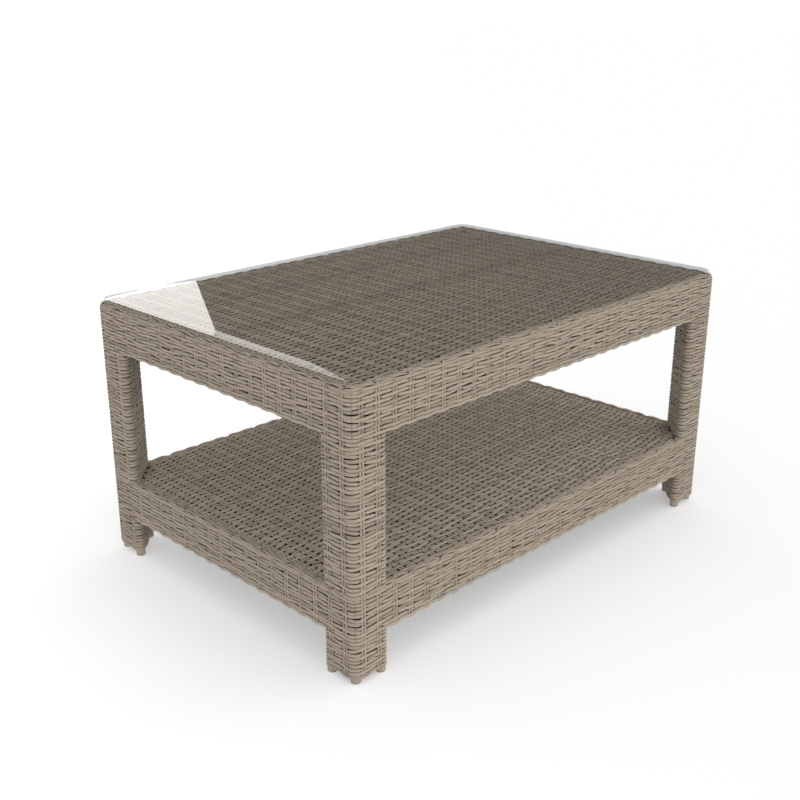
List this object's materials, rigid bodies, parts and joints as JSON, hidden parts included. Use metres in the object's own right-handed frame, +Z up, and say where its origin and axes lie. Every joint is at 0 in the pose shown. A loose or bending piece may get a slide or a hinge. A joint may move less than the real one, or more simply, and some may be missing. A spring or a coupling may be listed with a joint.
{
  "type": "wicker coffee table",
  "caption": "Rectangular woven coffee table with a clear glass top, three-sided woven legs and a woven lower shelf.",
  "frame": {"origin": "on the floor at the middle of the table's footprint", "axes": "+X along the long side, +Y along the short side, +Z up"},
  "size_m": [0.9, 0.62, 0.455],
  "materials": {
    "rattan_weave": "half-round synthetic rattan strand, taupe, satin",
    "clear_glass": "clear float glass with polished edges",
    "clear_pad": "clear soft bumper",
    "frame_tube": "dark powder-coated tube",
    "foot_cap": "moulded taupe cap"
  },
  "bodies": {
    "root": {"apron_weave_back": "rattan_weave", "apron_weave_front": "rattan_weave", "apron_weave_left": "rattan_weave", "apron_weave_right": "rattan_weave", "foot_back_left_corner": "foot_cap", "foot_back_left_long_side": "foot_cap", "foot_back_left_short_side": "foot_cap", "foot_back_right_corner": "foot_cap", "foot_back_right_long_side": "foot_cap", "foot_back_right_short_side": "foot_cap", "foot_front_left_corner": "foot_cap", "foot_front_left_long_side": "foot_cap", "foot_front_left_short_side": "foot_cap", "foot_front_right_corner": "foot_cap", "foot_front_right_long_side": "foot_cap", "foot_front_right_short_side": "foot_cap", "glass_pad_back_left": "clear_pad", "glass_pad_back_right": "clear_pad", "glass_pad_front_left": "clear_pad", "glass_pad_front_right": "clear_pad", "glass_top": "clear_glass", "leg_tube_back_left_corner": "frame_tube", "leg_tube_back_left_long_side": "frame_tube", "leg_tube_back_left_short_side": "frame_tube", "leg_tube_back_right_corner": "frame_tube", "leg_tube_back_right_long_side": "frame_tube", "leg_tube_back_right_short_side": "frame_tube", "leg_tube_front_left_corner": "frame_tube", "leg_tube_front_left_long_side": "frame_tube", "leg_tube_front_left_short_side": "frame_tube", "leg_tube_front_right_corner": "frame_tube", "leg_tube_front_right_long_side": "frame_tube", "leg_tube_front_right_short_side": "frame_tube", "leg_weave_lower_back_left": "rattan_weave", "leg_weave_lower_back_right": "rattan_weave", "leg_weave_lower_front_left": "rattan_weave", "leg_weave_lower_front_right": "rattan_weave", "leg_weave_upper_back_left": "rattan_weave", "leg_weave_upper_back_right": "rattan_weave", "leg_weave_upper_front_left": "rattan_weave", "leg_weave_upper_front_right": "rattan_weave", "shelf_cross_bar_left": "frame_tube", "shelf_cross_bar_right": "frame_tube", "shelf_edge_weave_back": "rattan_weave", "shelf_edge_weave_front": "rattan_weave", "shelf_edge_weave_left": "rattan_weave", "shelf_edge_weave_right": "rattan_weave", "shelf_frame_back": "frame_tube", "shelf_frame_front": "frame_tube", "shelf_frame_left": "frame_tube", "shelf_frame_right": "frame_tube", "shelf_panel_weave": "rattan_weave", "top_cross_bar_left": "frame_tube", "top_cross_bar_right": "frame_tube", "top_frame_back": "frame_tube", "top_frame_front": "frame_tube", "top_frame_left": "frame_tube", "top_frame_right": "frame_tube", "top_panel_weave": "rattan_weave"}
  },
  "joints": []
}
